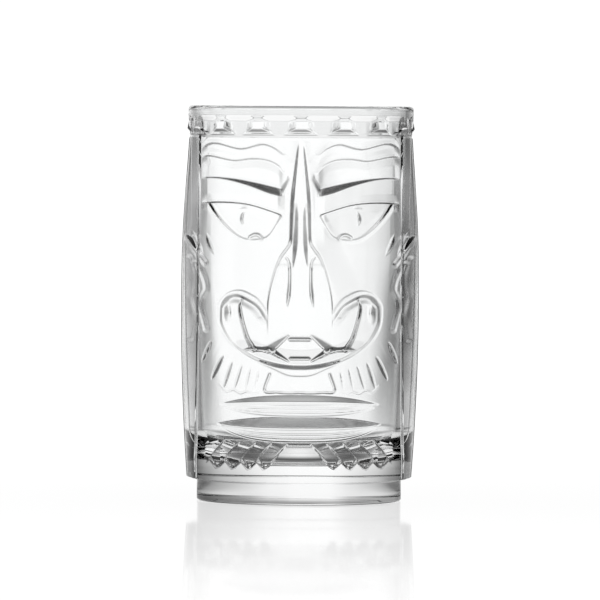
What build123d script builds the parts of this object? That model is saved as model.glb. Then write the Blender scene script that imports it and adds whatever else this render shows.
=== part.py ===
from build123d import *
import math
import os

# A tiki tumbler pressed from one gob of clear glass.
# Millimetres, Z up, origin at the middle of the foot's underside.
# The carved face looks towards -Y.

# ---- Driving dimensions ----

total_height = 140.0

# The wall swells towards its middle: every upright outline is an arc of this radius.
barrel_radius = 845.0
barrel_middle_z = 71.5
wall_middle_radius = 40.15
wall_straight_z = 15.0      # below this height the wall is upright

foot_height = 7.9
foot_radius = 36.25
foot_rounding = 0.7
punt_radius = 30.0
punt_depth = 1.8

# Above the crown line the wall sweeps outwards to the rim.
crown_z = 128.8
rim_radius = 40.0
rim_bottom_z = 135.7
lip_thickness = 2.7

bore_low_radius = 34.5
bore_middle_radius = 36.5
bore_top_radius = 37.3
bore_middle_z = 78.0
bore_floor_z = 14.5
bore_corner_radius = 12.0

# The side panels rise out of the wall. Their edge faces run almost straight back from the face.
panel_middle_radius = 42.05
panel_low_radius = 39.68
panel_high_radius = 39.35
panel_bottom_z = 8.2
panel_high_z = 130.0
panel_top_z = 133.5
panel_edge_inside = (34.0, 13.7)      # two points of the edge face, seen from above
panel_edge_outside = (37.5, 26.9)
panel_root = 34.0

# Studs: a slanted foot, wide below and narrow above, then an upright front that fades into the rim.
stud_count = 16
stud_base_width = 12.0
stud_top_width = 6.0
stud_foot_z = 129.8
stud_shoulder_z = 131.9
stud_top_z = 134.8
stud_foot_radius = 38.5
stud_front_radius = 39.75

# How far each carved feature stands out of the wall, at its lower and upper edge.
fold_proud = (0.9, 0.0)
brow_proud = (1.8, 0.0)
eyelid_proud = (1.0, 0.3)
bead_proud = 1.0
lozenge_proud = 1.1
chin_patch_proud = 0.5
upper_lip_proud = 1.3
lower_lip_proud = 2.4
lock_proud = 0.9
fringe_proud = 1.6
ear_proud = 1.4

eye_depth = 0.5
mouth_depth = 0.6
nostril_floor = 0.8      # the nostril creases stop this far above the wall
iris_radius = 4.5
iris_centre = (-16.6, 98.8)

reach = 60.0      # longer than any radius, for cutting prisms
skin = 1.2        # how deep a carved feature is rooted in the wall


# ---- Helpers ----

def arc_radius(middle_radius, z):
    """Radius of an upright barrel arc at height z."""
    return middle_radius - barrel_radius + math.sqrt(barrel_radius**2 - (z - barrel_middle_z) ** 2)


def wall(z):
    return arc_radius(wall_middle_radius, max(z, wall_straight_z))


def turned(*edges):
    """Solid of revolution of a closed outline drawn in the XZ plane."""
    return revolve(Plane.XZ * make_face(Curve() + list(edges)), Axis.Z)


def outline(*points):
    return make_face(Polyline(*points, close=True))


def smooth_outline(*points):
    return make_face(Spline(*points, periodic=True))


def between(lower, upper):
    """Face between a lower and an upper curve, both given from left to right."""
    low = Spline(*lower)
    high = Spline(*upper)
    return make_face(Curve() + [low, Line(low @ 1, high @ 1), high, Line(high @ 0, low @ 0)])


def band(low, high, inward=skin):
    """Ring around the wall between two (height, how far proud) pairs."""
    (low_z, low_proud), (high_z, high_proud) = low, high
    ring = Polyline(
        (wall(low_z) - inward, low_z),
        (wall(low_z) + low_proud, low_z),
        (wall(high_z) + high_proud, high_z),
        (wall(high_z) - inward, high_z),
        close=True,
    )
    return revolve(Plane.XZ * make_face(ring), Axis.Z)


def carved(face, low, high, inward=skin):
    """The part of a band that lies behind a face drawn on the front."""
    prism = extrude(Plane.XZ * face, amount=reach)
    return prism & band(low, high, inward)


def both_sides(left):
    return [left, mirror(left, about=Plane.YZ)]


# ---- Glass body ----

def outer_blank():
    """Foot, wall, crown and rim, before anything is carved."""
    lip = lip_thickness / 2
    lip_z = total_height - lip
    heel = foot_rounding * 0.7071
    heel_centre = foot_radius - foot_rounding
    wall_low = (wall(wall_straight_z), wall_straight_z)
    wall_middle = (wall_middle_radius, barrel_middle_z)
    wall_high = (wall(crown_z), crown_z)
    rim_low = (rim_radius, rim_bottom_z)
    rise = rim_bottom_z - crown_z
    flare = rim_radius - wall_high[0]
    flare_middle = (wall_high[0] + flare / 2, crown_z + rise / 2)
    return turned(
        Line((0, total_height), (0, punt_depth)),
        ThreePointArc((0, punt_depth), (punt_radius / 2, punt_depth * 0.74), (punt_radius, 0)),
        Line((punt_radius, 0), (heel_centre, 0)),
        ThreePointArc(
            (heel_centre, 0), (heel_centre + heel, foot_rounding - heel), (foot_radius, foot_rounding)
        ),
        Line((foot_radius, foot_rounding), (foot_radius, foot_height)),
        Line((foot_radius, foot_height), (wall_low[0], foot_height)),
        Line((wall_low[0], foot_height), wall_low),
        ThreePointArc(wall_low, wall_middle, wall_high),
        ThreePointArc(wall_high, (wall_high[0] + 0.13 * flare, crown_z + 0.25 * rise), flare_middle),
        ThreePointArc(flare_middle, (rim_radius - 0.13 * flare, rim_bottom_z - 0.25 * rise), rim_low),
        Line(rim_low, (rim_radius, lip_z)),
        ThreePointArc(
            (rim_radius, lip_z),
            (rim_radius - lip * 0.2929, lip_z + lip * 0.7071),
            (rim_radius - lip, total_height),
        ),
        Line((rim_radius - lip, total_height), (0, total_height)),
    )


def bore():
    """The drinking space, with a rounded floor corner and the inner half of the lip."""
    lip = lip_thickness / 2
    lip_z = total_height - lip
    corner = bore_corner_radius
    diagonal = corner * 0.7071
    floor_edge = (bore_low_radius - corner, bore_floor_z)
    corner_middle = (bore_low_radius - corner + diagonal, bore_floor_z + corner - diagonal)
    wall_foot = (bore_low_radius, bore_floor_z + corner)
    lip_inside = (bore_top_radius, lip_z)
    lip_middle = (rim_radius - lip * 1.7071, lip_z + lip * 0.7071)
    lip_top = (rim_radius - lip, total_height)
    above = total_height + 1
    return turned(
        Line((0, above), (0, bore_floor_z)),
        Line((0, bore_floor_z), floor_edge),
        ThreePointArc(floor_edge, corner_middle, wall_foot),
        ThreePointArc(wall_foot, (bore_middle_radius, bore_middle_z), lip_inside),
        ThreePointArc(lip_inside, lip_middle, lip_top),
        Line(lip_top, (rim_radius - lip, above)),
        Line((rim_radius - lip, above), (0, above)),
    )


def side_panels():
    """A raised panel down each side, from just above the foot up into the crown."""
    points = [panel_edge_inside, panel_edge_outside, (reach, panel_edge_outside[1])]
    plan = outline(*points, *[(x, -y) for x, y in reversed(points)])
    low = (panel_low_radius, panel_bottom_z)
    high = (panel_high_radius, panel_high_z)
    ring = turned(
        ThreePointArc(low, (panel_middle_radius, barrel_middle_z), high),
        Line(high, (panel_high_radius, panel_top_z)),
        Line((panel_high_radius, panel_top_z), (panel_root, panel_top_z)),
        Line((panel_root, panel_top_z), (panel_root, panel_bottom_z)),
        Line((panel_root, panel_bottom_z), low),
    )
    right = extrude(plan, amount=total_height) & ring
    return both_sides(right)


def crown_studs():
    """A row of low studs around the crown under the rim."""
    low, high = stud_base_width / 2, stud_top_width / 2
    face = outline(
        (-low, stud_foot_z),
        (low, stud_foot_z),
        (high, stud_shoulder_z),
        (high, stud_top_z),
        (-high, stud_top_z),
        (-high, stud_shoulder_z),
    )
    ring = Polyline(
        (panel_root, stud_foot_z),
        (stud_foot_radius, stud_foot_z),
        (stud_front_radius, stud_shoulder_z),
        (stud_front_radius, stud_top_z),
        (panel_root, stud_top_z),
        close=True,
    )
    stud = extrude(Plane.XZ * face, amount=reach) & revolve(Plane.XZ * make_face(ring), Axis.Z)
    return [Rot(0, 0, turn * 360 / stud_count) * stud for turn in range(stud_count)]


# ---- Forehead, eyes and nose ----

upper_wave = [(-36.5, 124.4), (-31.2, 126.9), (-21.3, 125.0), (-13.8, 126.6), (-7.3, 124.3)]
lower_wave = [(-36.5, 121.4), (-32.5, 122.3), (-23.7, 120.9), (-14.9, 121.6), (-10.0, 120.5), (-6.7, 117.6)]
brow_edge = [(-36.5, 113.9), (-29.0, 114.4), (-20.0, 112.6), (-12.1, 110.2), (-6.6, 109.0)]
eyelid_edge = [(-36.0, 105.6), (-26.9, 106.2), (-18.7, 105.5), (-11.0, 103.3), (-7.0, 101.8)]
eye_bottom = [(-32.8, 105.6), (-27.4, 98.9), (-21.3, 94.0), (-15.8, 93.1), (-11.0, 94.9), (-7.0, 101.8)]


def forehead():
    top_edge = [(-36.5, 129.5), (-7.3, 129.5)]
    upper_fold = carved(between(upper_wave, top_edge), (122.0, fold_proud[0]), (129.9, 0.3))
    lower_fold = carved(between(lower_wave, upper_wave), (116.0, fold_proud[0]), (128.0, fold_proud[1]))
    brow = carved(between(brow_edge, lower_wave), (108.0, brow_proud[0]), (123.0, brow_proud[1]))
    eyelid = carved(between(eyelid_edge, brow_edge), (101.0, eyelid_proud[0]), (115.0, eyelid_proud[1]))
    return [side for fold in (upper_fold, lower_fold, brow, eyelid) for side in both_sides(fold)]


def eye_hollows():
    lid_over_eye = [(-32.8, 105.6), (-26.9, 106.2), (-18.7, 105.5), (-11.0, 103.3), (-7.0, 101.8)]
    low = Spline(*eye_bottom)
    high = Spline(*lid_over_eye)
    eye = make_face(Curve() + [low, high]) - Pos(*iris_centre) * Circle(iris_radius)
    prism = extrude(Plane.XZ * eye, amount=reach)
    shell = band((90.0, 3.0), (108.0, 3.0), inward=eye_depth)
    return both_sides(prism & shell)


# Height, half width at the wall, half width at the top, how far proud.
nose_sections = [
    (127.0, 1.2, 0.3, 0.2),
    (109.0, 3.8, 1.9, 1.4),
    (92.0, 4.4, 2.5, 1.7),
    (80.0, 9.6, 7.4, 1.6),
    (70.0, 11.4, 9.2, 1.4),
    (63.5, 11.4, 9.6, 0.5),
]


def nose():
    sections = []
    for z, half_base, half_top, proud in nose_sections:
        root = math.sqrt(wall(z) ** 2 - half_base**2) - 0.3
        front = wall(z) + proud
        section = outline((-half_base, -root), (-half_top, -front), (half_top, -front), (half_base, -root))
        sections.append(Pos(0, 0, z) * section)
    ridge = loft(sections, ruled=True)
    back = extrude(
        Plane.XZ.offset(36.8)
        * outline(*[(-s[1], s[0]) for s in nose_sections], *[(s[1], s[0]) for s in reversed(nose_sections)]),
        amount=2.2,
    )
    return [ridge, back & band((62.0, 0.0), (128.0, 0.0), inward=3.0)]


def nostril_creases():
    crease = outline((-4.9, 87.2), (-3.5, 86.0), (-3.2, 76.0), (-4.4, 69.0), (-4.2, 76.0), (-4.3, 85.0))
    prism = extrude(Plane.XZ * crease, amount=reach)
    return both_sides(prism & band((66.0, 4.0), (90.0, 4.0), inward=-nostril_floor))


# ---- Mouth ----

bead_outside = [
    (-11.3, 68.2), (-15.5, 72.9), (-20.7, 75.3), (-26.0, 73.8), (-28.8, 68.5),
    (-27.6, 60.8), (-21.1, 54.1), (-11.0, 48.9),
]
bead_inside = [
    (-11.3, 64.5), (-15.0, 70.4), (-20.7, 73.6), (-25.2, 72.2), (-27.2, 67.8),
    (-26.0, 61.3), (-20.0, 55.5), (-10.5, 51.0),
]
bead_bottom_z = 45.3
bead_top_z = 48.8


def mouth_face(half, bottom_z):
    """Closed mouth shape from the left half of its outline."""
    right = [(-x, z) for x, z in reversed(half)]
    edge = Spline(*half, (0, bottom_z), *right)
    return make_face(Curve() + [edge, Line(edge @ 1, edge @ 0)])


def mouth_bead():
    frame = mouth_face(bead_outside, bead_bottom_z) - mouth_face(bead_inside, bead_top_z)
    return carved(frame, (43.0, bead_proud), (78.0, bead_proud))


def mouth_hollow():
    inside = mouth_face(bead_inside, bead_top_z)
    lobe = between(
        [(-17.4, 55.5), (-8.0, 51.6), (0, 50.6), (8.0, 51.6), (17.4, 55.5)],
        [(-20.8, 69.0), (-10.0, 64.0), (0, 63.0), (10.0, 64.0), (20.8, 69.0)],
    )
    prism = extrude(Plane.XZ * (inside - lobe), amount=reach)
    return prism & band((44.0, 3.0), (76.0, 3.0), inward=mouth_depth)


def mouth_lozenge():
    half = [(-3.8, 51.3), (-8.5, 55.2), (-3.8, 59.1)]
    face = outline(*half, *[(-x, z) for x, z in reversed(half)])
    return carved(face, (50.0, lozenge_proud), (60.0, lozenge_proud))


def lips():
    """Two long lens-shaped lips, each with a ridge above its middle."""
    def lip(tip_x, tip_z, top_z, bottom_z, ridge_z, proud):
        low = [(-tip_x, tip_z), (-0.6 * tip_x, bottom_z + 0.8), (0, bottom_z), (0.6 * tip_x, bottom_z + 0.8),
               (tip_x, tip_z)]
        high = [(-tip_x, tip_z), (-0.5 * tip_x, top_z - 0.9), (0, top_z), (0.5 * tip_x, top_z - 0.9),
                (tip_x, tip_z)]
        face = make_face(Curve() + [Spline(*low), Spline(*high)])
        upper = carved(face, (ridge_z, proud), (top_z + 0.5, -0.2))
        lower = carved(face, (bottom_z - 0.5, 0.3), (ridge_z, proud))
        return upper + lower

    upper = lip(28.4, 35.0, 39.0, 31.4, 36.4, upper_lip_proud)
    lower = lip(28.8, 28.2, 31.2, 22.4, 27.4, lower_lip_proud)
    return [upper, lower]


def chin_patch():
    face = outline((-10.6, 46.4), (-12.4, 40.2), (12.4, 40.2), (10.6, 46.4), (0, 45.0))
    return carved(face, (39.0, chin_patch_proud), (48.0, chin_patch_proud))


# ---- Beard, fringe and ears ----

# Upper end and lower end of each lock on the left, from the cheek inwards.
beard_locks = [
    ((-31.2, 57.0), (-34.3, 49.6)),
    ((-26.9, 52.2), (-30.9, 43.8)),
    ((-23.7, 49.6), (-26.6, 40.8)),
    ((-19.9, 48.4), (-22.6, 40.4)),
    ((-16.3, 47.6), (-18.2, 40.4)),
    ((-13.4, 47.0), (-14.9, 40.6)),
]
lock_half_width = 0.95


def leaf(top, bottom, half_width):
    """Slender lock, widest at its middle."""
    dx, dz = bottom[0] - top[0], bottom[1] - top[1]
    length = math.hypot(dx, dz)
    side_x, side_z = -dz / length * half_width, dx / length * half_width
    middle = (top[0] + dx * 0.5, top[1] + dz * 0.5)
    return make_face(
        Curve()
        + [
            ThreePointArc(top, (middle[0] + side_x, middle[1] + side_z), bottom),
            ThreePointArc(bottom, (middle[0] - side_x, middle[1] - side_z), top),
        ]
    )


def beard():
    locks = []
    for top, bottom in beard_locks:
        face = leaf(top, bottom, lock_half_width)
        locks += both_sides(carved(face, (38.0, lock_proud), (60.0, lock_proud)))
    return locks


fringe_top_z = 20.6
fringe_tip_z = 11.8
fringe_pitch = 5.2
fringe_lock_count = 5
fringe_middle_half_width = 6.4


def chin_fringe():
    """Pointed locks leaning outwards on both sides of a broad middle lock."""
    middle = outline(
        (-fringe_middle_half_width, fringe_top_z),
        (fringe_middle_half_width, fringe_top_z),
        (fringe_middle_half_width + 2.6, fringe_tip_z + 1.6),
        (0, fringe_tip_z + 2.6),
        (-fringe_middle_half_width - 2.6, fringe_tip_z + 1.6),
    )
    shapes = [carved(middle, (11.0, fringe_proud), (21.5, 0.3))]
    for number in range(fringe_lock_count):
        inner = -fringe_middle_half_width - 0.5 - number * fringe_pitch
        rise = 0.35 * number
        lock = outline(
            (inner, fringe_top_z + rise),
            (inner - 3.4, fringe_top_z + rise),
            (inner - 6.4, fringe_tip_z + rise),
            (inner - 2.8, fringe_tip_z + 3.0 + rise),
        )
        shapes += both_sides(carved(lock, (10.5, fringe_proud), (23.0, 0.3)))
    return shapes


def ears():
    """Cheek fold and ear on each side, where the face meets the side panel."""
    fold = outline((-38.6, 96.0), (-36.6, 96.0), (-31.0, 85.4), (-33.6, 85.0), (-37.4, 91.0))
    ear = smooth_outline(
        (-34.0, 82.5), (-31.6, 76.5), (-34.6, 70.0), (-33.2, 63.0), (-37.6, 62.0), (-38.0, 74.0)
    )
    pieces = [
        carved(fold, (84.0, ear_proud), (97.0, ear_proud)),
        carved(ear, (60.0, ear_proud), (84.0, ear_proud)),
    ]
    return [side for piece in pieces for side in both_sides(piece)]


# ---- The whole glass ----

def glass_mug():
    hollows = eye_hollows() + [mouth_hollow()]
    glass = outer_blank() - hollows
    glass = glass + side_panels() + crown_studs()
    glass = glass + forehead() + nose() + [mouth_bead(), mouth_lozenge(), chin_patch()]
    glass = glass + lips() + beard() + chin_fringe() + ears()
    return glass - nostril_creases() - bore()


os.makedirs("parts", exist_ok=True)
export_step(glass_mug(), "parts/glass_mug.step")
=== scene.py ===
import math

import bpy
import numpy as np
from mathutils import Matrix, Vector


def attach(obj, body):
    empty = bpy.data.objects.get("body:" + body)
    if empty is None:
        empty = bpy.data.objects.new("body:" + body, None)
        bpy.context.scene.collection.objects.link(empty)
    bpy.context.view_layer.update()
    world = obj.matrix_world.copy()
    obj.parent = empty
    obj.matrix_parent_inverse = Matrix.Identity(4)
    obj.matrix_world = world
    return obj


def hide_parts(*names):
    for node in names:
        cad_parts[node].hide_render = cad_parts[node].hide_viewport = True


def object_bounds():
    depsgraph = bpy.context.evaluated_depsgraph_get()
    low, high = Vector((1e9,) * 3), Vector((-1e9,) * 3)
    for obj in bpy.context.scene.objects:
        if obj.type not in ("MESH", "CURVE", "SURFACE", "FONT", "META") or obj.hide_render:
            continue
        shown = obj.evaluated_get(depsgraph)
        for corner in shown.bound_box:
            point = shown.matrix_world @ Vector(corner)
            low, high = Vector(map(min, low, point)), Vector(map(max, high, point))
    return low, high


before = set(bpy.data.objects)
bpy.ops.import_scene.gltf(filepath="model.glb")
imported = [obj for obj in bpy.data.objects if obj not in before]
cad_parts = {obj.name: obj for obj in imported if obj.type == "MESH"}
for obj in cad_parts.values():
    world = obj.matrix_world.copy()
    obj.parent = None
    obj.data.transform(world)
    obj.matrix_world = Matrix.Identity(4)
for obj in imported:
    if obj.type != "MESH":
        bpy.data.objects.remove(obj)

# The tumbler's own mesh stands for the CAD body. It is one closed skin: a profile turned about Z,
# with the carved face added to the outer wall as a height in millimetres.
# Face features are written as (x, z): x is the distance from the nose line, z the height, and
# the two halves of the face are mirror images.

MM = 0.001
cad_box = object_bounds()

# ---- Body, millimetres ----

HEIGHT = (cad_box[1][2] - cad_box[0][2]) / MM
BARREL_RADIUS = 845.0
BARREL_MIDDLE_Z = 71.5
WALL_RADIUS = 40.15
PANEL_RADIUS = 42.05
PANEL_LEAN = 0.7           # how far the panels lean in towards the rim

FOOT_Z = 7.9
FOOT_RADIUS = 36.25
FOOT_ROUNDING = 0.7
STRAIGHT_Z = 15.0
WALL_TOP_RADIUS = 38.9
PUNT_RADIUS = 30.0
PUNT_DEPTH = 1.8

BAND_Z = 128.8
FLARE = [(128.8, 130.2, 0.4), (130.0, 134.5, 0.15), (134.3, 137.0, 0.55)]     # from, to, outwards
STUD_COUNT = 16
# Studs, by height: how proud the front stands, and half its width.
STUD_FRONT = [(129.7, 0.0), (129.9, 0.12), (130.7, 0.12), (131.9, 0.95), (136.5, 0.0)]
STUD_HALF_WIDTH = [(129.8, 6.0), (131.9, 3.0), (136.5, 3.0)]
RIM_Z = 137.0
RIM_RADIUS = 40.0
LIP = 2.7

BORE_TOP_RADIUS = 37.3
BORE_MIDDLE_RADIUS = 36.5
BORE_LOW_RADIUS = 34.5
BORE_FLOOR_Z = 14.5
BORE_CORNER = 12.0

PANEL_LOW_Z = 8.2
PANEL_EDGE_X = [(8.0, 36.0), (60.0, 35.4), (129.4, 35.2)]     # height, distance of the panel's edge
PANEL_DRAFT = 0.7                                             # how far its edge face slants

SEAM_HEIGHT = 0.22                                            # of the mould's upright seam on each side
SEAM_HALF_WIDTH = 0.6

FINE_STEP = 0.24          # mesh spacing on the face
BAND_STEP = 0.14          # and on the studded band


def barrel(middle_radius, z):
    return middle_radius - BARREL_RADIUS + np.sqrt(BARREL_RADIUS**2 - (z - BARREL_MIDDLE_Z) ** 2)


def wall(z):
    """The wall's own radius: a barrel, upright near the foot and less curved in its upper half."""
    rise = np.maximum(z - BARREL_MIDDLE_Z, 0) / (BAND_Z - BARREL_MIDDLE_Z)
    upper = WALL_RADIUS - (WALL_RADIUS - WALL_TOP_RADIUS) * rise**2
    return np.where(z > BARREL_MIDDLE_Z, upper, barrel(WALL_RADIUS, np.maximum(z, STRAIGHT_Z)))


def panel_wall(z):
    """The side panels' radius."""
    return barrel(PANEL_RADIUS, z) - PANEL_LEAN * ease(z, 85.0, 130.0)


def flare(z):
    """Radius above the wall: it spreads out in three gentle steps to the rim's radius."""
    return WALL_TOP_RADIUS + sum(out * ease(z, low, high) for low, high, out in FLARE)


# ---- Drawing helpers, all on arrays of x and z ----

def ramp(value, low, high):
    """0 below low, 1 above high, straight in between."""
    return np.clip((value - low) / (high - low), 0.0, 1.0)


def ease(value, low, high):
    """0 below low, 1 above high, with soft ends."""
    t = ramp(value, low, high)
    return t * t * (3 - 2 * t)


def through(points, steps=12):
    """A smooth curve through a few points, as a dense polyline."""
    p = np.array(points, float)
    p = np.vstack([2 * p[0] - p[1], p, 2 * p[-1] - p[-2]])
    t = np.linspace(0, 1, steps, endpoint=False)[:, None]
    spans = []
    for a, b, c, d in zip(p[:-3], p[1:-2], p[2:-1], p[3:]):
        spans.append(b + 0.5 * t * (c - a + t * (2 * a - 5 * b + 4 * c - d + t * (3 * (b - c) + d - a))))
    return np.vstack([*spans, p[-2][None]])


def z_on(points, x):
    """Height of a curve given from small x to large x."""
    curve = through(points)
    return np.interp(x, curve[:, 0], curve[:, 1])


def x_on(points, z):
    """Distance from the nose line of a curve given from low z to high z."""
    curve = through(points)
    return np.interp(z, curve[:, 1], curve[:, 0])


def near(curve, x, z):
    """Distance to a polyline, place along it from 0 to 1, and side (+1 left of its direction)."""
    best = np.full(x.shape, 1e9)
    place = np.zeros(x.shape)
    side = np.ones(x.shape)
    step = np.diff(curve, axis=0)
    lengths = np.hypot(step[:, 0], step[:, 1])
    starts = np.concatenate([[0], np.cumsum(lengths)])
    for (ax, az), (dx, dz), length, start in zip(curve, step, lengths, starts):
        if length == 0:
            continue
        t = np.clip(((x - ax) * dx + (z - az) * dz) / length**2, 0, 1)
        distance = np.hypot(x - ax - t * dx, z - az - t * dz)
        closer = distance < best
        best = np.where(closer, distance, best)
        place = np.where(closer, (start + t * length) / starts[-1], place)
        side = np.where(closer, np.sign(dx * (z - az) - dz * (x - ax)), side)
    return best, place, side


def groove(curve, widths, slope, x, z):
    """Depth of a V groove whose half width runs through the given values along the curve."""
    distance, place, _ = near(curve, x, z)
    half = np.interp(place, np.linspace(0, 1, len(widths)), widths)
    return np.maximum(half - distance, 0) * slope


FOLD_REACH = 3.0          # how far below its line a fold of skin dips


def undercut(curve, widths, slope, x, z):
    """Depth of a cut that deepens downwards across its whole width. The curve runs towards small x."""
    distance, place, side = near(curve, x, z)
    half = np.interp(place, np.linspace(0, 1, len(widths)), widths)
    return np.where(distance < half, (half + side * distance) * slope, 0.0)


# ---- The carved face ----

FOREHEAD_END = (33.0, 34.8)       # the folds of the forehead fade out between these distances
UPPER_WAVE = [(6.4, 123.2), (9.5, 125.4), (13.8, 126.6), (21.3, 125.0), (30.5, 126.9), (36.0, 124.4)]
LOWER_WAVE = [(6.3, 117.0), (8.1, 119.4), (12.2, 121.2), (17.7, 121.5), (23.7, 120.9), (32.0, 122.4),
              (36.0, 121.5)]
BROW_TOP = [(5.0, 110.7), (7.2, 111.3), (14.9, 113.1), (22.6, 114.4), (30.0, 114.9), (36.0, 114.5)]
BROW_FOOT = [(5.0, 108.2), (8.0, 108.4), (12.1, 109.5), (19.2, 112.1), (25.9, 113.9), (31.0, 114.5),
             (36.0, 114.1)]
EYELID = [(5.5, 101.3), (11.0, 103.3), (18.7, 105.5), (26.9, 106.2), (35.5, 105.8)]


def fold(z, edge, above, height, width):
    """The skin swells down to a line, breaks off there and recovers below it."""
    swell = (1 - ramp(z, edge, above)) * ramp(z, edge - width, edge)
    dip = (1 - ramp(z, edge - width, edge)) * ramp(z, edge - width - FOLD_REACH, edge - width)
    return height * (0.5 * swell - 0.5 * dip)


def forehead(x, z):
    """Two wavy folds, the brow that overhangs its socket, and the fold of the eyelid."""
    upper = z_on(UPPER_WAVE, x)
    lower = z_on(LOWER_WAVE, x)
    brow = z_on(BROW_TOP, x)
    brow_foot = z_on(BROW_FOOT, x)
    lid = z_on(EYELID, x)
    inner_end = ramp(x, 5.2, 8.5)
    end = 6.4 - 0.5 * np.clip(z - 110.5, 0, 4)
    brow_end = ramp(x, end - 0.5, end + 0.5)
    brow_width = np.maximum(brow - brow_foot, 0.25)
    socket = 0.5 * brow_width * ramp(z, 90.0, 109.0) * (1 - ramp(z, brow_foot, brow)) * ramp(x, 5.4, 8.5)
    relief = fold(z, upper, upper + 2.5, 0.55, 0.3) * inner_end
    relief += fold(z, lower, lower + 3.0, 0.5, 0.3) * inner_end
    overhang = (0.5 * brow_width + 0.15) * (1 - ramp(z, brow, lower - 0.3)) * ramp(z, brow_foot, brow)
    relief += overhang * brow_end - socket
    relief += fold(z, lid, lid + 3.0, 0.65, 0.32) * ramp(x, 6.0, 8.0)
    return relief * (1 - ramp(x, *FOREHEAD_END))


EYE_CORNERS = (6.8, 32.6)
EYE_FOOT = [(6.8, 101.8), (8.6, 98.6), (11.5, 94.4), (15.8, 93.1), (21.3, 94.0), (27.4, 98.9),
            (32.6, 105.6)]
IRIS = [(20.0, 103.2), (20.8, 101.6), (20.9, 99.8), (20.3, 98.0)]
IRIS_TOP = [(18.8, 104.2), (20.4, 104.5), (22.0, 104.0)]
TEAR = [(13.6, 93.6), (14.8, 94.7), (16.4, 94.8), (17.8, 94.0)]


def eye(x, z):
    """A shallow hollow under the eyelid with a soft rim, an iris line and a tear at its lowest point."""
    outline = through(EYE_FOOT)
    lid = z_on(EYELID, x)
    distance, place, side = near(outline, x, z)
    open_eye = (side > 0) & (z < lid) & (x > EYE_CORNERS[0]) & (x < EYE_CORNERS[1])
    deeper = np.interp(place, [0.0, 0.15, 0.35, 0.6, 0.8, 1.0], [0.15, 0.15, 0.0, 0.0, 0.1, 0.0])
    hollow = (0.2 + deeper * (1 - ease(distance, 0.5, 2.5))) * ramp(distance, 0.0, 0.45) * open_eye
    lower_lid = 0.2 * np.maximum(1 - distance / 1.5, 0) * ~open_eye * (z < lid)
    iris = groove(through(IRIS), [0.1, 0.5, 0.45, 0.1], 1.4, x, z)
    iris += groove(through(IRIS_TOP), [0.1, 0.35, 0.1], 1.2, x, z)
    tear = np.maximum(1 - near(through(TEAR), x, z)[0] / 0.75, 0)
    return lower_lid - hollow - iris + 0.7 * tear


# Nose, by height: how proud it stands and how deep the valley beside it is.
NOSE_HEIGHT = [(55.0, 0.0), (61.0, 0.15), (66.0, 0.5), (72.0, 1.0), (78.0, 1.45), (86.0, 2.0),
               (92.0, 2.25), (100.0, 2.25), (107.0, 1.9), (114.0, 1.4), (120.0, 1.0), (127.0, 0.0)]
NOSE_VALLEY = [(66.0, 0.0), (78.0, 0.4), (86.0, 0.7), (92.0, 1.0), (104.0, 1.0), (112.0, 0.9),
               (120.0, 0.6), (128.0, 0.0)]
VALLEY_WIDTH = 9.0
# Its outlines, from the wings up to the forehead: the front's edge, the wall's foot, the valley.
NOSE_EDGE = [(11.0, 55.0), (11.0, 66.0), (10.8, 71.5), (10.2, 75.5), (9.2, 79.5), (8.0, 83.2),
             (6.4, 86.8), (4.6, 89.4), (3.2, 91.6), (2.7, 96.0), (2.45, 102.0), (2.15, 109.0),
             (1.8, 114.3), (1.3, 120.4), (0.7, 127.5)]
NOSE_FOOT = [(11.5, 55.0), (11.5, 66.0), (11.35, 71.5), (10.8, 75.6), (9.9, 79.8), (8.8, 83.7),
             (7.3, 87.5), (5.5, 90.0), (4.1, 92.5), (3.85, 96.0), (3.75, 102.0), (3.35, 109.0),
             (2.65, 114.3), (1.9, 120.4), (1.0, 127.5)]
VALLEY_EDGE = [(13.0, 55.0), (13.0, 72.0), (10.6, 80.0), (7.0, 88.1), (5.6, 91.4), (5.2, 98.5),
               (4.5, 105.6), (3.7, 113.3), (2.9, 119.3), (2.0, 127.5)]
# The ridge down the nose's front, and the crease of each nostril.
RIDGE_EDGE = [(2.45, 82.0), (2.2, 84.0), (1.1, 90.0), (0.85, 94.7), (0.85, 101.0), (1.2, 107.5)]
RIDGE_FOOT = [(2.5, 82.0), (2.6, 86.0), (2.4, 94.0), (2.05, 98.0), (1.8, 103.0), (1.25, 107.5)]
RIDGE_SLOPE = 1.0
NOSTRIL = [(4.9, 87.0), (4.1, 86.0), (3.6, 83.5), (3.6, 78.0), (3.9, 74.0), (4.6, 69.3)]


def nose(x, z):
    """A proud nose with straight walls in a shallow valley, and a facet down each side of its ridge."""
    height = np.interp(z, *zip(*NOSE_HEIGHT))
    valley = np.interp(z, *zip(*NOSE_VALLEY))
    edge = x_on(NOSE_EDGE, z)
    foot = x_on(NOSE_FOOT, z)
    valley_edge = x_on(VALLEY_EDGE, z)
    ridge_edge = x_on(RIDGE_EDGE, z)
    ridge_foot = np.maximum(x_on(RIDGE_FOOT, z), ridge_edge + 0.02)
    step = 1 - ramp(x, edge, foot)
    rise = ramp(x, valley_edge, valley_edge + VALLEY_WIDTH)
    relief = (height + valley) * step - valley * (1 - rise) ** 1.5
    facet = ramp(x, ridge_edge, ridge_foot)
    along = ramp(z, 82.0, 85.0) * (1 - ramp(z, 103.0, 107.5))
    relief -= facet * along * RIDGE_SLOPE * (ridge_foot - ridge_edge) * step
    relief -= groove(through(NOSTRIL), [0.3, 0.4, 0.45, 0.6, 0.1], 2.2, x, z)
    return relief


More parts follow.
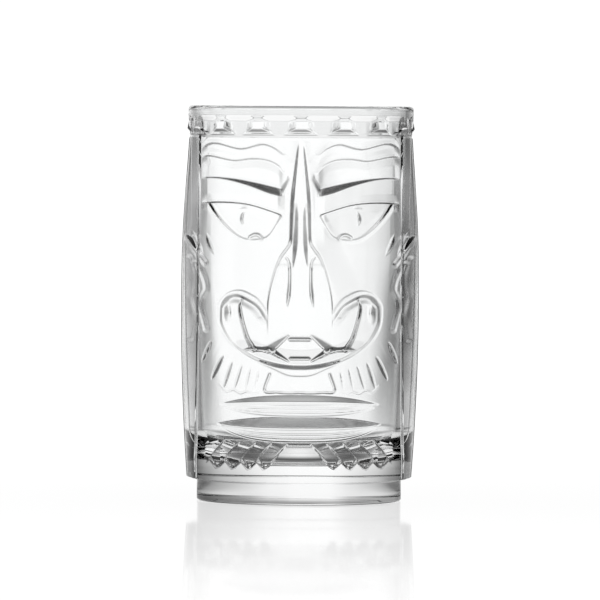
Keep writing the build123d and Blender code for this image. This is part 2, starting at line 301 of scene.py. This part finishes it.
# The mouth is edged by a raised band between these two lines, wide and low under the middle.
BAND_OUT = [(11.2, 64.0), (11.4, 67.5), (14.0, 71.5), (16.2, 73.4), (20.7, 75.3), (25.1, 74.4),
            (28.3, 71.0), (28.9, 67.5), (28.0, 61.9), (24.4, 56.6), (17.2, 51.8), (9.0, 48.0),
            (3.5, 45.8), (-3.0, 45.6)]
BAND_IN = [(11.3, 64.0), (12.3, 67.0), (14.0, 69.6), (16.2, 71.5), (21.0, 73.9), (24.8, 73.5),
           (27.3, 70.8), (27.8, 66.5), (27.2, 62.5), (23.3, 56.2), (16.7, 51.4), (9.0, 48.9),
           (3.0, 48.0), (-3.0, 48.0)]
BAND_START = 11.25        # the band starts beside the nose's wing
CHEEK_LINE = [(20.5, 72.6), (21.0, 69.2), (20.3, 65.0), (18.6, 59.2), (17.3, 56.4), (16.6, 54.8)]
POOL_LINE = [(19.8, 54.7), (17.1, 55.0), (13.3, 54.9), (10.2, 54.9)]
TONGUE_TOP = [(10.3, 55.3), (7.2, 57.6), (4.2, 59.7)]
TONGUE_FOOT = [(10.3, 54.7), (7.2, 52.7), (4.1, 50.8)]
TONGUE_BARS = [[(3.3, 58.7), (-1.0, 58.7)], [(3.2, 51.8), (-1.0, 51.8)]]
DIMPLE = (25.2, 67.6)
DIMPLE_SIZE = (0.8, 2.4)
DIMPLE_DEPTH = 0.6


def mouth(x, z):
    """The raised band and the hollow inside it, the cheek line, the tongue's cut outline, a dimple."""
    distance, place, side = near(through(BAND_OUT), x, z)
    to_mouth = -distance * side
    height = np.interp(place, [0, 0.05, 0.2, 0.35, 0.6, 0.8, 1.0], [0.0, 0.35, 0.45, 0.12, 0.1, 0.5, 0.65])
    band = height * ramp(to_mouth, -0.25, 0.15)
    distance, place, side = near(through(BAND_IN), x, z)
    to_mouth = -distance * side
    width = np.interp(place, [0, 0.05, 0.2, 0.3, 0.36, 0.56, 0.66, 0.86, 1.0],
                      [0.4, 1.3, 1.5, 1.1, 0.4, 0.4, 0.9, 1.25, 1.3])
    low = ramp(place, 0.5, 0.66)
    hollow = (0.8 + 0.8 * low) * (width - 0.35) * (1 - ease(to_mouth, width, width + 2.4 + 3.6 * low))
    band -= (height + hollow) * ramp(to_mouth, -0.1, width)
    relief = band * ((x > BAND_START) | (z < 60))
    relief -= groove(through(CHEEK_LINE), [0.3, 0.6, 0.65, 0.65, 0.8, 1.2], 1.5, x, z)
    cut = np.zeros(x.shape)
    for line, widths in (
        (through(POOL_LINE), [0.2, 0.95, 0.85, 1.5]),
        (through(TONGUE_TOP), [1.4, 0.95, 0.4]),
        (np.array(TONGUE_BARS[0]), [0.7, 0.7]),
        (np.array(TONGUE_BARS[1]), [0.65, 0.65]),
    ):
        cut = np.maximum(cut, undercut(line, widths, 0.95, x, z))
    cut = np.maximum(cut, undercut(through(TONGUE_FOOT), [1.3, 0.8, 0.35], 1.1, x, z))
    off_x = (x - DIMPLE[0]) / DIMPLE_SIZE[0]
    off_z = (z - DIMPLE[1]) / DIMPLE_SIZE[1]
    return relief - cut - DIMPLE_DEPTH * np.exp(-(off_x**2) - off_z**2)


# Each lip: its tip, the heights of its middle (top, ridge, foot), and its upper slope.
UPPER_LIP = ((28.8, 35.0), (39.0, 36.5, 31.5), 0.5)
LOWER_LIP = ((29.2, 28.2), (31.2, 27.4, 22.5), 0.8)
LIP_LINES = (0.2, 0.45, 0.72)     # fine lines under the ridge, as shares of the way to its foot
LIP_LINE = 0.32                   # their depth and half width


def lip(x, z, tip, heights, slope):
    """A lens-shaped lip: it swells down to its ridge and falls away slowly below it."""
    reach, tip_z = tip
    top, ridge, foot = heights
    u = np.clip(x / reach, 0, 1)
    high = tip_z + (top - tip_z) * (1 - u**2.6)
    crest = tip_z + (ridge - tip_z) * (1 - u**2.6)
    low = tip_z + (foot - tip_z) * (1 - u**3.2)
    rise = slope * np.maximum(high - crest, 0.1)
    upper = 1 - ramp(z, crest, high)
    lower = 0.4 + 0.6 * ramp(z, low, crest)
    relief = rise * np.where(z > crest, upper, lower * ramp(z, low - 0.15, low + 0.15))
    for share in LIP_LINES:
        line = crest + (low - crest) * share
        relief -= LIP_LINE * np.maximum(1 - np.abs(z - line) / LIP_LINE, 0) * (z < crest)
    return relief * (z > low - 0.2) * (z < high) * (x < reach)


def lips(x, z):
    return np.maximum(lip(x, z, *UPPER_LIP), lip(x, z, *LOWER_LIP))


# Beard strokes under the mouth: upper end, lower end, half width.
BEARD = [
    ((31.2, 57.0), (34.3, 49.6), 0.8),
    ((26.9, 52.2), (30.9, 43.8), 0.75),
    ((23.7, 50.2), (26.7, 40.8), 0.6),
    ((20.2, 49.2), (22.9, 40.6), 0.5),
    ((17.2, 48.4), (18.9, 40.6), 0.4),
    ((14.3, 47.4), (15.5, 40.8), 0.35),
]
BEARD_SLOPE = 0.85
PATCH = [(10.5, 46.2), (12.2, 40.3), (8.0, 39.9), (4.0, 39.7), (-1.0, 39.9)]
SCALLOPS = [(28.0, 42.0), (25.6, 39.6), (23.2, 40.4), (20.8, 39.2), (18.4, 40.0), (16.2, 39.2),
            (13.4, 40.0)]


def beard(x, z):
    """Raised strokes under the mouth, the patch between them, and the scalloped line at their tips."""
    relief = np.zeros(x.shape)
    for top, bottom, half in BEARD:
        distance, place, _ = near(np.array([top, bottom], float), x, z)
        width = half * np.sqrt(np.clip(4 * place * (1 - place), 0, 1))
        relief = np.maximum(relief, np.maximum(width - distance, 0) * BEARD_SLOPE)
    relief -= groove(through(PATCH), [0.55, 0.4, 0.35, 0.35], 1.6, x, z)
    relief -= groove(through(SCALLOPS), [0.1, 0.3, 0.3, 0.1], 1.2, x, z)
    return relief


FRINGE_TOP = 22.8
FRINGE_RIDGE = 19.0
FRINGE_LEAN = 0.8
FRINGE_MIDDLE = 6.4       # half width of the middle lock at its top
MIDDLE_TIP = 14.6         # height of the middle lock's end
MIDDLE_THICK = 1.4
LOCK_PITCH = 5.6
LOCK_TIP = 12.8           # height of a side lock's point
LOCK_POINT = 0.15         # where across the lock that point is
LOCK_THICK = (0.5, 1.5)
FRINGE_END = (27.0, 33.0)


def fringe(x, z):
    """Chin hair under the lower lip: a swell cut into leaning locks with pointed ends."""
    lean = x - FRINGE_LEAN * (FRINGE_RIDGE - z)
    lock = np.mod(lean - FRINGE_MIDDLE, LOCK_PITCH) / LOCK_PITCH
    middle = lean < FRINGE_MIDDLE
    tip = np.where(middle, MIDDLE_TIP, LOCK_TIP + 3.6 * np.abs(lock - LOCK_POINT))
    thick = np.where(middle, MIDDLE_THICK, np.interp(lock, (0, 1), LOCK_THICK))
    swell = 1 - ramp(z, FRINGE_RIDGE, FRINGE_TOP)
    end = ramp(z, tip - 0.5, tip + 0.7)
    return thick * swell * end * (1 - ramp(x, *FRINGE_END))


# Leaf-shaped hollows on the side locks: line, half width, slope.
LEAVES = [([(38.6, 97.0), (36.8, 92.0), (34.0, 87.0)], 1.3, 0.16),
          ([(33.2, 95.2), (31.8, 91.2), (29.9, 87.4)], 0.9, 0.35)]
EAR_TOP = [(39.8, 93.0), (36.8, 88.5), (33.6, 84.6)]
EAR = [(36.6, 84.5), (34.0, 80.0), (33.0, 75.5), (34.6, 72.0), (35.0, 69.0), (34.2, 66.0), (33.0, 61.5)]
EAR_BACK = [(39.0, 86.0), (37.8, 79.0), (38.6, 72.0), (37.6, 66.0), (38.4, 58.0)]


def rounded(curve, half, x, z):
    """A soft ridge of height 1 along a curve."""
    return 1 - ease(near(through(curve), x, z)[0], 0.0, half)


def ears(x, z):
    """Side locks: the hollow leaves, the ridge below them and the ears' soft edges."""
    relief = 0.28 * rounded(EAR_TOP, 1.5, x, z)
    relief += 0.16 * rounded(EAR, 1.6, x, z)
    relief += 0.2 * rounded(EAR_BACK, 1.6, x, z)
    for line, half, slope in LEAVES:
        relief -= groove(through(line), [0.0, 0.8 * half, half, 0.8 * half, 0.0], slope, x, z)
    return relief


def crown(radius, angle, z):
    """Studs round the band under the rim: trapezoids, wider and lower at the foot, proud at the top."""
    pitch = 360 / STUD_COUNT
    off = np.abs(np.mod(angle + pitch / 2, pitch) - pitch / 2)
    across = radius * np.sin(np.radians(off))
    half_width = np.interp(z, *zip(*STUD_HALF_WIDTH))
    soft = 0.3 + 1.1 * ramp(z, 131.0, 132.5)
    return np.interp(z, *zip(*STUD_FRONT)) * (1 - ramp(across, half_width - soft, half_width + soft))


# ---- The skin ----

EDGE_LOW, EDGE_HIGH = 60.0, 62.0      # the columns that lie on a panel's edge face
BACK_COLUMNS = 90                     # half of the smooth back's columns


def columns():
    """Column parameters for half the mesh, from the nose line (0) round to the back (180)."""
    fine = math.degrees(FINE_STEP / WALL_RADIUS)
    spans = [(0, EDGE_LOW, fine), (EDGE_LOW, EDGE_HIGH, 0.4), (EDGE_HIGH, 88, 0.6), (88, 90, 0.2)]
    parts = [np.linspace(a, b, int(round((b - a) / step)), endpoint=False) for a, b, step in spans]
    quarter = np.concatenate(parts)
    back = np.linspace(0, EDGE_LOW, BACK_COLUMNS, endpoint=False)
    back = np.concatenate([back, quarter[quarter >= EDGE_LOW]])
    return np.concatenate([quarter, [90.0], 180 - back[::-1]])


def section(base, z, column, paneled):
    """Angle and radius of every skin point before carving. The panels' edge faces are upright planes."""
    quarter = np.where(column <= 90, column, 180 - column)
    edge_x = np.interp(z, *zip(*PANEL_EDGE_X))
    z_in = np.clip(z, PANEL_LOW_Z, BAND_Z)
    low_side = np.where(paneled, base, wall(z_in))
    panel = np.maximum(panel_wall(z_in), base + 0.02)
    foot_angle = np.degrees(np.arcsin(edge_x / low_side))
    top_angle = np.degrees(np.arcsin((edge_x + PANEL_DRAFT) / panel))
    middle = (foot_angle + top_angle) / 2
    foot_angle = np.where(paneled, foot_angle, middle - 0.3)
    top_angle = np.where(paneled, top_angle, middle + 0.3)
    outer = np.where(paneled, panel, base)
    across = (quarter - EDGE_LOW) / (EDGE_HIGH - EDGE_LOW)
    angle = np.where(quarter < EDGE_LOW, quarter / EDGE_LOW * foot_angle,
                     top_angle + (90 - top_angle) * (quarter - EDGE_HIGH) / (90 - EDGE_HIGH))
    radius = np.where(quarter < EDGE_LOW, base, outer)
    on_face = (quarter >= EDGE_LOW) & (quarter < EDGE_HIGH)
    low, high = np.radians(foot_angle), np.radians(top_angle)
    face_x = base * np.sin(low) * (1 - across) + outer * np.sin(high) * across
    face_y = base * np.cos(low) * (1 - across) + outer * np.cos(high) * across
    angle = np.where(on_face, np.degrees(np.arctan2(face_x, face_y)), angle)
    radius = np.where(on_face, np.hypot(face_x, face_y), radius)
    return np.where(column <= 90, angle, 180 - angle), radius


def arc(centre, radius, start, end, count):
    turn = np.radians(np.linspace(start, end, count))
    return np.column_stack([centre[0] + radius * np.cos(turn), centre[1] + radius * np.sin(turn)])


def outer_profile():
    """Base radius and height, from the middle of the punt up to the top of the lip."""
    punt_r = np.linspace(0.4, PUNT_RADIUS, 28)
    punt = np.column_stack([punt_r, PUNT_DEPTH * (1 - (punt_r / PUNT_RADIUS) ** 2)])
    ring = np.array([(PUNT_RADIUS + 0.5, 0.0), (FOOT_RADIUS - FOOT_ROUNDING - 0.4, 0.0)])
    heel = arc((FOOT_RADIUS - FOOT_ROUNDING, FOOT_ROUNDING), FOOT_ROUNDING, -90, 0, 10)
    side = [(FOOT_RADIUS, z) for z in (1.3, 1.5, 3.0, 5.0, FOOT_Z - 0.6, FOOT_Z - 0.5)]
    side.append((FOOT_RADIUS + 0.15, FOOT_Z - 0.1))
    z = np.arange(FOOT_Z, BAND_Z, FINE_STEP)
    shoulder = [(wall(FOOT_Z) - 0.4, FOOT_Z - 0.02)]
    side_wall = np.column_stack([wall(z), z])
    z = np.arange(BAND_Z, RIM_Z + 0.3, BAND_STEP)
    band = np.column_stack([flare(z), z])
    lip_arc = arc((RIM_RADIUS - LIP / 2, HEIGHT - LIP / 2), LIP / 2, 0, 90, 10)
    return np.vstack([punt, ring, heel, side, shoulder, side_wall, band, lip_arc])


def inner_profile():
    """From the top of the lip down the bore to the middle of its floor."""
    lip_arc = arc((RIM_RADIUS - LIP / 2, HEIGHT - LIP / 2), LIP / 2, 100, 180, 9)
    top = HEIGHT - LIP / 2
    low = BORE_FLOOR_Z + BORE_CORNER
    z = np.linspace(top - 1.0, low + 0.5, 90)
    bend = np.polyfit([low, 78.0, top], [BORE_LOW_RADIUS, BORE_MIDDLE_RADIUS, BORE_TOP_RADIUS], 2)
    bore = np.column_stack([np.polyval(bend, z), z])
    corner = arc((BORE_LOW_RADIUS - BORE_CORNER, low), BORE_CORNER, 0, -90, 48)
    floor_r = np.linspace(BORE_LOW_RADIUS - BORE_CORNER - 1.5, 0.4, 14)
    floor = np.column_stack([floor_r, np.full(14, BORE_FLOOR_Z)])
    return np.vstack([lip_arc, bore, corner, floor])


def soften(relief):
    """Rounds every carved edge a little, as fire-polished glass is."""
    kernel = (0.16, 0.68, 0.16)
    padded = np.pad(relief, 1, mode="edge")
    blurred = sum(w * padded[i : i + relief.shape[0], 1:-1] for i, w in enumerate(kernel))
    padded = np.pad(blurred, 1, mode="edge")
    return sum(w * padded[1:-1, i : i + relief.shape[1]] for i, w in enumerate(kernel))


def carve(radius, z, angle, column):
    """Height of the carving over the base for half the glass."""
    x = radius * np.sin(np.radians(angle))
    front = column < EDGE_LOW
    features = (forehead, eye, nose, mouth, lips, beard, fringe)
    face = sum(feature(x, z) for feature in features)
    on_wall = (z > FOOT_Z) & (z < BAND_Z)
    relief = face * front * on_wall * (1 - ramp(z, BAND_Z - 1.2, BAND_Z - 0.2))
    relief += ears(x, z) * (column < 90) * on_wall
    relief += crown(radius, angle, z) * (z >= BAND_Z) * (z < RIM_Z)
    off_seam = np.abs(radius * np.cos(np.radians(angle)))
    seam = SEAM_HEIGHT * np.sqrt(np.clip(1 - (off_seam / SEAM_HALF_WIDTH) ** 2, 0, 1))
    return relief + seam * (z > PANEL_LOW_Z) * on_wall


def creases(heights, outer_rows):
    """True for the rows that lie on a sharp edge round the foot and under the panels."""
    on_edge = np.zeros(len(heights), bool)
    for z in (FOOT_Z - 0.02, FOOT_Z - 0.1):
        on_edge |= np.isclose(heights, z)
    first_panel_row = np.argmax(heights[:outer_rows] >= PANEL_LOW_Z)
    on_edge[first_panel_row - 1 : first_panel_row + 1] = True
    on_edge[outer_rows:] = False
    return on_edge


def glass_mesh():
    half = columns()
    outer = outer_profile()
    inner = inner_profile()
    column = np.broadcast_to(half, (len(outer), len(half)))
    height = np.broadcast_to(outer[:, 1:], column.shape)
    base = np.broadcast_to(outer[:, :1], column.shape)
    paneled = (height >= PANEL_LOW_Z) & (height < RIM_Z)
    angle, radius = section(base, height, column, paneled)
    relief = soften(carve(radius, height, angle, column))
    plain = (outer[:, 1] < FOOT_Z) | (outer[:, 1] > RIM_Z)
    relief[plain] = 0.0
    angles = np.vstack([angle, np.broadcast_to(angle[-1:], (len(inner), len(half)))])
    radii = np.vstack([radius + relief, np.broadcast_to(inner[:, :1], (len(inner), len(half)))])
    heights = np.concatenate([outer[:, 1], inner[:, 1]])

    mirror = np.concatenate([np.arange(len(half)), np.arange(len(half) - 2, 0, -1)])
    sign = np.where(np.arange(len(mirror)) < len(half), 1.0, -1.0)
    full = radii[:, mirror]
    turn = np.radians(angles[:, mirror]) * sign
    tall = np.broadcast_to(heights[:, None], full.shape)
    points = np.stack([full * np.sin(turn), -full * np.cos(turn), tall], -1)
    rows, count = full.shape
    index = np.arange(rows * count).reshape(rows, count)
    ahead = np.roll(index, -1, axis=1)
    quads = np.stack([index[:-1], ahead[:-1], ahead[1:], index[1:]], -1).reshape(-1, 4)
    under, floor = rows * count, rows * count + 1
    points = np.vstack([points.reshape(-1, 3), (0, 0, PUNT_DEPTH), (0, 0, BORE_FLOOR_Z)]) * MM
    fans = [(under, b, a) for a, b in zip(index[0], ahead[0])]
    fans += [(floor, a, b) for a, b in zip(index[-1], ahead[-1])]

    mesh = bpy.data.meshes.new("tiki_tumbler")
    mesh.from_pydata(points.tolist(), [], quads.tolist() + fans)
    mesh.shade_smooth()
    quarter = np.where(half <= 90, half, 180 - half)[mirror]
    creased_columns = np.isclose(quarter, EDGE_LOW) | np.isclose(quarter, EDGE_HIGH)
    creased_rows = creases(heights, len(outer))
    ends = np.empty(len(mesh.edges) * 2, int)
    mesh.edges.foreach_get("vertices", ends)
    row, place = np.divmod(ends.reshape(-1, 2), count)
    on_skin = (row < rows).all(axis=1)
    row = np.minimum(row, rows - 1)
    upright = (place[:, 0] == place[:, 1]) & creased_columns[place[:, 0]]
    upright &= (heights[row].max(axis=1) < BAND_Z) & (heights[row].min(axis=1) > PANEL_LOW_Z)
    upright &= row.max(axis=1) < len(outer)
    level = (row[:, 0] == row[:, 1]) & creased_rows[row[:, 0]]
    sharp = mesh.attributes.new("sharp_edge", "BOOLEAN", "EDGE")
    sharp.data.foreach_set("value", (upright | level) & on_skin)
    return mesh


# ---- Materials ----

def material(name):
    made = bpy.data.materials.new(name)
    made.use_nodes = True
    return made, made.node_tree.nodes, made.node_tree.links


def clear_glass():
    made, nodes, links = material("clear_pressed_glass")
    shader = nodes["Principled BSDF"]
    shader.inputs["Base Color"].default_value = (0.985, 0.99, 0.99, 1)
    shader.inputs["Roughness"].default_value = 0.0
    shader.inputs["IOR"].default_value = 1.52
    shader.inputs["Transmission Weight"].default_value = 1.0
    place = nodes.new("ShaderNodeTexCoord")
    ripple = nodes.new("ShaderNodeTexNoise")
    ripple.inputs["Scale"].default_value = 45.0
    ripple.inputs["Detail"].default_value = 1.0
    wave = nodes.new("ShaderNodeBump")
    wave.inputs["Strength"].default_value = 0.25
    wave.inputs["Distance"].default_value = 0.0004
    links.new(place.outputs["Object"], ripple.inputs["Vector"])
    links.new(ripple.outputs["Fac"], wave.inputs["Height"])
    links.new(wave.outputs["Normal"], shader.inputs["Normal"])
    return made


# ---- Studio ----

# Brightness seen at angles away from straight behind the glass, left is positive, in degrees.
# Behind it stands a wide soft screen, paler towards the right. The sides are dim, the right more so. The
# floor far behind the glass is painted with the same levels, as a painted reflection of that screen.
SCREEN_LEVELS = [(-180, 0.3), (-110, 0.2), (-75, 0.06), (-62, 0.08), (-54, 0.1), (-47, 0.14),
                 (-38, 0.2), (-27, 0.3), (-20, 0.42), (-15, 0.62), (-11, 0.78), (-8.5, 0.8),
                 (-5, 0.87), (-2.5, 0.97), (12, 1.0), (16, 0.82), (20, 0.6), (27, 0.46), (38, 0.42),
                 (47, 0.38), (62, 0.36), (75, 0.2), (84, 0.65), (102, 0.65), (112, 0.3), (180, 0.4)]
# Painted sheen and shade on the floor by angle round the glass: the floor near the foot is lit more
# widely, and the floor right at the foot is seen from further round.
MIDDLE_LEVELS = [(-180, 0.3), (-80, 0.1), (-66, 0.1), (-57, 0.2), (-49, 0.37), (-43, 0.48),
                 (-34, 0.63), (-27, 0.77), (-22, 0.85), (-17, 0.93), (-12, 1.0), (12, 1.0),
                 (17, 0.97), (22, 0.92), (27, 0.86), (34, 0.72), (43, 0.46), (49, 0.28), (57, 0.12),
                 (66, 0.08), (90, 0.1), (180, 0.3)]
NEAR_LEVELS = [(-180, 0.3), (-60, 0.1), (-41, 0.1), (-35, 0.21), (-31, 0.38), (-27, 0.48),
               (-18.5, 0.63), (-14.5, 0.76), (-11.8, 0.85), (-8.5, 0.93), (-6, 1.0), (6, 1.0),
               (8.5, 0.97), (11.8, 0.92), (14.5, 0.86), (18.5, 0.72), (27, 0.46), (31, 0.28),
               (35, 0.12), (41, 0.08), (60, 0.1), (180, 0.3)]
# Shade at the sides of the floor, half a metre to two metres behind the glass.
SIDE_LEVELS = [(-180, 1.0), (-80, 1.0), (-55, 0.45), (-12, 0.45), (-10, 0.7), (-7.5, 1.0), (10, 1.0),
               (13, 0.7), (20, 0.6), (55, 0.6), (75, 1.0), (180, 1.0)]
# The same by height above the horizon, and, as painted light and shade on the floor, by how steeply it is
# looked at.
HEIGHT_LEVELS = [(-90, 1.0), (-1.2, 1.0), (-0.3, 0.85), (1.0, 0.85), (3.0, 0.88), (9, 0.88),
                 (12, 0.8), (16, 0.6), (20, 0.32), (25, 0.12), (30, 0.06), (78, 0.04), (88, 0.4),
                 (90, 0.4)]
FLOOR_LEVELS = [(0, 1.0), (9, 1.0), (13, 0.85), (17, 0.6), (21, 0.42), (28, 0.3), (40, 0.24),
                (58, 0.6), (75, 0.85), (90, 0.9)]
# The floor right under the glass: painted light and shadow, as if lit through its base.
UNDER_LEVELS = [(0, 1.0), (14, 0.93), (17, 0.8), (20, 0.45), (24, 0.28), (30, 0.15), (45, 0.07),
                (56, 0.12), (66, 0.35), (76, 0.65), (86, 0.85), (90, 0.85)]
BACKDROP = 1.16
# Distances from the middle of the foot, metres, over which one stretch of floor gives way to the next.
UNDER_EDGE = (0.036, 0.040)
NEAR_EDGE = (0.1, 0.25)
MIDDLE_EDGE = (0.35, 0.8)
SHADE_EDGE = (0.9, 1.7)
# Over the FLOOR_FADE distances, the floor's painted light dims to this share.
FLOOR_FADE = (5.0, 22.0)
FADED = 0.72
MIRROR_EDGE = (0.04, 0.80)
ASIDE = (24.0, 36.0)      # degrees away from straight behind the glass
LOOKED_DOWN = (8.0, 14.0)  # degrees of steepness
# Painted brightness of the floor, seen through the glass, away from the strip behind it.
SIDE_FLOOR = 0.98         # the floor out of the strip behind the glass, where it is looked down at
STRAIGHT_VIEW = 1.05      # the backdrop looked at directly, not through the glass
STRAIGHT_FLOOR = 1.12     # and the floor, which also mirrors a little
MIRROR = 0.42


class Shading:
    """Short names for the few node types that the floor and the studio use."""

    def __init__(self, tree):
        self.nodes, self.links = tree.nodes, tree.links

    def add(self, kind, **settings):
        node = self.nodes.new(kind)
        for name, value in settings.items():
            setattr(node, name, value)
        return node

    def put(self, socket, value):
        if isinstance(value, (int, float)):
            socket.default_value = value
        else:
            self.links.new(value, socket)

    def math(self, operation, *values):
        node = self.add("ShaderNodeMath", operation=operation)
        for socket, value in zip(node.inputs, values):
            self.put(socket, value)
        return node.outputs[0]

    def span(self, value, low, high, start=0.0, end=1.0):
        """start where the value is low, end where it is high, straight in between."""
        node = self.add("ShaderNodeMapRange")
        for socket, number in zip(node.inputs[:5], (value, low, high, start, end)):
            self.put(socket, number)
        return node.outputs[0]

    def levels(self, value, low, high, points):
        """Brightness read from (position, level) pairs over a range."""
        node = self.add("ShaderNodeValToRGB")
        stops = node.color_ramp.elements
        while len(stops) < len(points):
            stops.new(0.5)
        for stop, (position, level) in zip(stops, points):
            stop.position = (position - low) / (high - low)
            stop.color = (level, level, level, 1)
        self.put(node.inputs[0], self.span(value, low, high))
        return node.outputs[0]

    def blend(self, share, first, second):
        return self.math("ADD", self.math("MULTIPLY", self.math("SUBTRACT", 1.0, share), first),
                         self.math("MULTIPLY", share, second))

    def azimuth(self, split):
        turn = self.math("ARCTAN2", self.math("MULTIPLY", split.outputs["X"], -1.0), split.outputs["Y"])
        return self.math("MULTIPLY", turn, 180 / math.pi)


def floor_material():
    """White floor, polished enough round the glass to mirror it faintly. Seen straight on, it glows
    evenly. Seen through the glass, its glow is painted light and shade: a painted sheen and shade by angle
    round the glass and distance from it, a brightness set by how steeply it is looked at, and a painted
    shadow right under the glass.
    """
    made, nodes, links = material("white_floor_painted_light")
    nodes.clear()
    s = Shading(made.node_tree)
    output = s.add("ShaderNodeOutputMaterial")
    place = s.add("ShaderNodeTexCoord")
    split = s.add("ShaderNodeSeparateXYZ")
    distance = s.add("ShaderNodeVectorMath", operation="LENGTH")
    links.new(place.outputs["Object"], split.inputs[0])
    links.new(place.outputs["Object"], distance.inputs[0])
    weight = s.add("ShaderNodeLayerWeight")
    weight.inputs["Blend"].default_value = 0.5
    steepness = s.math("ARCSINE", s.math("SUBTRACT", 1.0, weight.outputs["Facing"]))
    steepness = s.math("MULTIPLY", steepness, 180 / math.pi)
    away = distance.outputs["Value"]
    # Painted light and shade: seen through the glass, the floor's glow is set by how steeply it is looked
    # at, with painted light and shadow right under the glass.
    under = s.span(away, *UNDER_EDGE, 1.0, 0.0)
    steep = s.blend(under, s.levels(steepness, 0, 90, FLOOR_LEVELS),
                    s.levels(steepness, 0, 90, UNDER_LEVELS))
    around = s.azimuth(split)
    middle = s.span(away, *NEAR_EDGE)
    far = s.span(away, *MIDDLE_EDGE)
    shaded = s.math("MULTIPLY", far, s.span(away, *SHADE_EDGE, 1.0, 0.0))
    # Painted sheen and shade by angle round the glass and distance from it: lighter straight behind the
    # glass, darker at the sides, dimmer far off.
    near_foot, nearby, beyond, shade = (
        s.levels(around, -180, 180, points)
        for points in (NEAR_LEVELS, MIDDLE_LEVELS, SCREEN_LEVELS, SIDE_LEVELS)
    )
    painted_sheen_and_shade = s.blend(middle, near_foot, nearby)
    painted_sheen_and_shade = s.blend(far, painted_sheen_and_shade, beyond)
    painted_sheen_and_shade = s.math("MULTIPLY", painted_sheen_and_shade, s.blend(shaded, 1.0, shade))
    painted_sheen_and_shade = s.blend(under, painted_sheen_and_shade, 1.0)
    fading = s.span(away, *FLOOR_FADE, BACKDROP, BACKDROP * FADED)
    painted_sheen_and_shade = s.math("MULTIPLY", painted_sheen_and_shade, fading)
    seen = s.math("MULTIPLY", painted_sheen_and_shade, steep)
    # Away from the strip behind the glass, where the floor is looked down at, its glow is painted evenly
    # light.
    aside = s.span(s.math("ABSOLUTE", around), *ASIDE)
    lit = s.math("MULTIPLY", aside, s.span(steepness, *LOOKED_DOWN))
    lit = s.math("MULTIPLY", lit, s.math("SUBTRACT", 1.0, under))
    seen = s.blend(lit, seen, SIDE_FLOOR)
    # Seen straight on, the floor glows evenly. Only the rays through the glass see the painted light and
    # shade.
    path = s.add("ShaderNodeLightPath")
    glow = s.add("ShaderNodeEmission")
    s.put(glow.inputs["Strength"], s.blend(path.outputs["Is Camera Ray"], seen, STRAIGHT_FLOOR))
    gloss = s.add("ShaderNodeBsdfGlossy")
    gloss.inputs["Roughness"].default_value = 0.045
    mirror = s.span(away, *MIRROR_EDGE, MIRROR, 0.0)
    mirror = s.math("MULTIPLY", mirror, s.span(weight.outputs["Facing"], 0.6, 0.93, 0.15, 1.0))
    mix = s.add("ShaderNodeMixShader")
    s.put(mix.inputs[0], mirror)
    links.new(glow.outputs[0], mix.inputs[1])
    links.new(gloss.outputs[0], mix.inputs[2])
    links.new(mix.outputs[0], output.inputs["Surface"])
    return made


def studio():
    world = bpy.data.worlds.new("studio")
    bpy.context.scene.world = world
    world.use_nodes = True
    links = world.node_tree.links
    world.node_tree.nodes.clear()
    s = Shading(world.node_tree)
    output = s.add("ShaderNodeOutputWorld")
    where = s.add("ShaderNodeTexCoord")
    split = s.add("ShaderNodeSeparateXYZ")
    links.new(where.outputs["Generated"], split.inputs[0])
    around = s.levels(s.azimuth(split), -180, 180, SCREEN_LEVELS)
    rise = s.math("MULTIPLY", s.math("ARCSINE", split.outputs["Z"]), 180 / math.pi)
    height = s.levels(rise, -90, 90, HEIGHT_LEVELS)
    level = s.math("MULTIPLY", s.math("MULTIPLY", around, height), BACKDROP)
    path = s.add("ShaderNodeLightPath")
    background = s.add("ShaderNodeBackground")
    background.inputs["Color"].default_value = (1, 1, 1, 1)
    s.put(background.inputs["Strength"], s.blend(path.outputs["Is Camera Ray"], level, STRAIGHT_VIEW))
    links.new(background.outputs[0], output.inputs["Surface"])


def floor():
    size = 20.0
    mesh = bpy.data.meshes.new("studio_floor")
    corners = [(-size, -size, 0), (size, -size, 0), (size, size, 0), (-size, size, 0)]
    mesh.from_pydata(corners, [], [(0, 1, 2, 3)])
    made = bpy.data.objects.new("studio_floor", mesh)
    made.location.z = -0.00005
    bpy.context.collection.objects.link(made)
    made.data.materials.append(floor_material())


CAMERA_DISTANCE = 2.45
CAMERA_HEIGHT = 0.140
AIM_HEIGHT = 0.0711
CAMERA_ROLL = 0.37
LENS = 414.0


def camera():
    data = bpy.data.cameras.new("camera")
    made = bpy.data.objects.new("camera", data)
    bpy.context.collection.objects.link(made)
    made.location = (0, -CAMERA_DISTANCE, CAMERA_HEIGHT)
    look = Vector((0, 0, AIM_HEIGHT)) - made.location
    made.rotation_mode = "QUATERNION"
    made.rotation_quaternion = look.to_track_quat("-Z", "Y")
    made.rotation_mode = "XYZ"
    made.rotation_euler.rotate_axis("Z", math.radians(CAMERA_ROLL))
    data.lens = LENS
    data.clip_start = 0.1
    data.clip_end = 60.0
    bpy.context.scene.camera = made


# ---- Build ----

tumbler = bpy.data.objects.new("tiki_tumbler", glass_mesh())
bpy.context.collection.objects.link(tumbler)
tumbler.data.materials.append(clear_glass())
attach(tumbler, "root")
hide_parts("glass_mug")

floor()
studio()
camera()
bpy.context.scene.view_settings.view_transform = "Standard"
